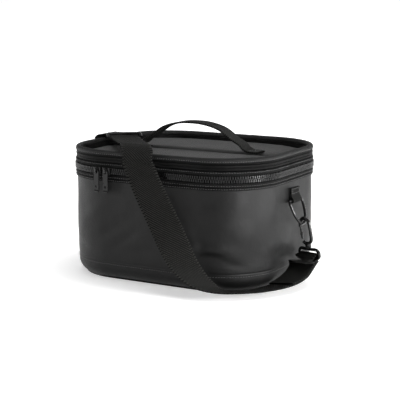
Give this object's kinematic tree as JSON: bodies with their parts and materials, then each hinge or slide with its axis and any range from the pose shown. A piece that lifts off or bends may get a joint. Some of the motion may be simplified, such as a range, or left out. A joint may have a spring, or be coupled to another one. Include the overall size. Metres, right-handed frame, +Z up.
{
  "type": "insulated cooler bag",
  "caption": "Soft-sided insulated cooler bag with a zip-round hinged lid, webbing carry handle and clip-on shoulder strap.",
  "frame": {"origin": "centre of the flat base, on the floor", "axes": "+X along the bag's long axis, +Z up; the zip pulls hang on the -Y front"},
  "size_m": [0.3809, 0.2918, 0.2075],
  "materials": {
    "shell_fabric": "fine-ribbed coated polyester, black, soft sheen",
    "lid_fabric": "fine-ribbed coated polyester, black, soft sheen, padded",
    "binding": "rolled black binding tape, stitched",
    "zip_tape": "woven black zip tape",
    "zip_teeth": "moulded black teeth",
    "webbing": "black twill webbing",
    "hardware": "gloss black coated metal",
    "liner": "pale grey coated lining film",
    "foam": "closed-cell foam",
    "board": "stiff plastic board"
  },
  "bodies": {
    "bag": {"base_panel": "shell_fabric", "base_board": "board", "base_foam": "foam", "outer_shell": "shell_fabric", "wall_foam": "foam", "inner_liner": "liner", "lower_zip_tape": "zip_tape", "lower_zip_teeth": "zip_teeth", "back_hinge_lower": "shell_fabric", "zip_end_left": "shell_fabric", "zip_end_right": "shell_fabric", "ring_tab_left": "webbing", "ring_tab_right": "webbing", "hook_loop_left": "hardware", "hook_loop_right": "hardware", "strap_front": "webbing", "strap_left": "webbing"},
    "lid": {"lid_wall": "lid_fabric", "lid_band": "lid_fabric", "lid_binding": "binding", "lid_liner": "liner", "lid_foam": "foam", "lid_panel_front": "lid_fabric", "lid_panel_back": "lid_fabric", "back_hinge_upper": "shell_fabric", "upper_zip_tape": "zip_tape", "upper_zip_teeth": "zip_teeth", "handle_foot_left": "webbing", "handle_foot_right": "webbing", "strap_top": "webbing", "strap_return": "webbing"},
    "handle": {"carry_handle": "webbing"},
    "slider_left": {"zip_slider_left": "hardware"},
    "slider_right": {"zip_slider_right": "hardware"},
    "pull_left": {"zip_pull_left": "hardware"},
    "pull_right": {"zip_pull_right": "hardware"},
    "ring_left": {"d_ring_left": "hardware"},
    "ring_right": {"d_ring_right": "hardware"},
    "hook_left": {"hook_left": "hardware"},
    "hook_right": {"hook_right": "hardware"},
    "gate_left": {"hook_gate_left": "hardware"},
    "gate_right": {"hook_gate_right": "hardware"},
    "adjuster": {"strap_adjuster": "hardware"}
  },
  "joints": [
    {"name": "lid_hinge", "type": "hinge", "parent": "bag", "child": "lid", "pos_m": [0, 0.1272, 0.1495], "axis": [-1, 0, 0], "range_deg": [0, 105]},
    {"name": "handle_tilt", "type": "hinge", "parent": "lid", "child": "handle", "pos_m": [0, 0, 0.174], "axis": [1, 0, 0], "range_deg": [-25, 25], "stiffness_Nm_per_rad": 0.02},
    {"name": "slider_left_travel", "type": "hinge", "parent": "bag", "child": "slider_left", "pos_m": [-0.07, -0.045, 0.1495], "axis": [0, 0, -1], "range_deg": [0, 82]},
    {"name": "slider_right_travel", "type": "slide", "parent": "bag", "child": "slider_right", "axis": [1, 0, 0], "range_m": [0, 0.128]},
    {"name": "pull_left_swing", "type": "hinge", "parent": "slider_left", "child": "pull_left", "pos_m": [-0.07637, -0.13177, 0.1475], "axis": [0.0732, 0.9973, 0], "range_deg": [-5, 60]},
    {"name": "pull_right_swing", "type": "hinge", "parent": "slider_right", "child": "pull_right", "pos_m": [-0.062, -0.132, 0.1475], "axis": [0, -1, 0], "range_deg": [-5, 60]},
    {"name": "ring_left_swing", "type": "hinge", "parent": "bag", "child": "ring_left", "pos_m": [-0.1545, 0, 0.11], "axis": [0, 1, 0], "range_deg": [0, 4]},
    {"name": "ring_right_swing", "type": "hinge", "parent": "bag", "child": "ring_right", "pos_m": [0.1545, 0, 0.11], "axis": [0, -1, 0], "range_deg": [0, 4]},
    {"name": "hook_left_swivel", "type": "hinge", "parent": "bag", "child": "hook_left", "pos_m": [-0.169, 0.003, 0.035], "axis": [0.0382, -0.0425, 0.9984], "range_deg": [-15, 15]},
    {"name": "gate_left_snap", "type": "hinge", "parent": "hook_left", "child": "gate_left", "pos_m": [-0.1617, 0.002, 0.05852], "axis": [0, -0.9991, -0.0425], "range_deg": [0, 25], "stiffness_Nm_per_rad": 0.004, "springref_deg": -11.46},
    {"name": "hook_right_swivel", "type": "hinge", "parent": "bag", "child": "hook_right", "pos_m": [0.1752, 0.004, 0.035], "axis": [-0.1675, -0.0628, 0.9839], "range_deg": [-15, 15]},
    {"name": "gate_right_snap", "type": "hinge", "parent": "hook_right", "child": "gate_right", "pos_m": [0.1649, 0.00257, 0.05735], "axis": [0, 0.998, 0.0637], "range_deg": [0, 25], "stiffness_Nm_per_rad": 0.004, "springref_deg": -11.46},
    {"name": "adjuster_slide", "type": "slide", "parent": "lid", "child": "adjuster", "axis": [0.6253, -0.7804, 0], "range_m": [-0.002, 0.014]}
  ]
}
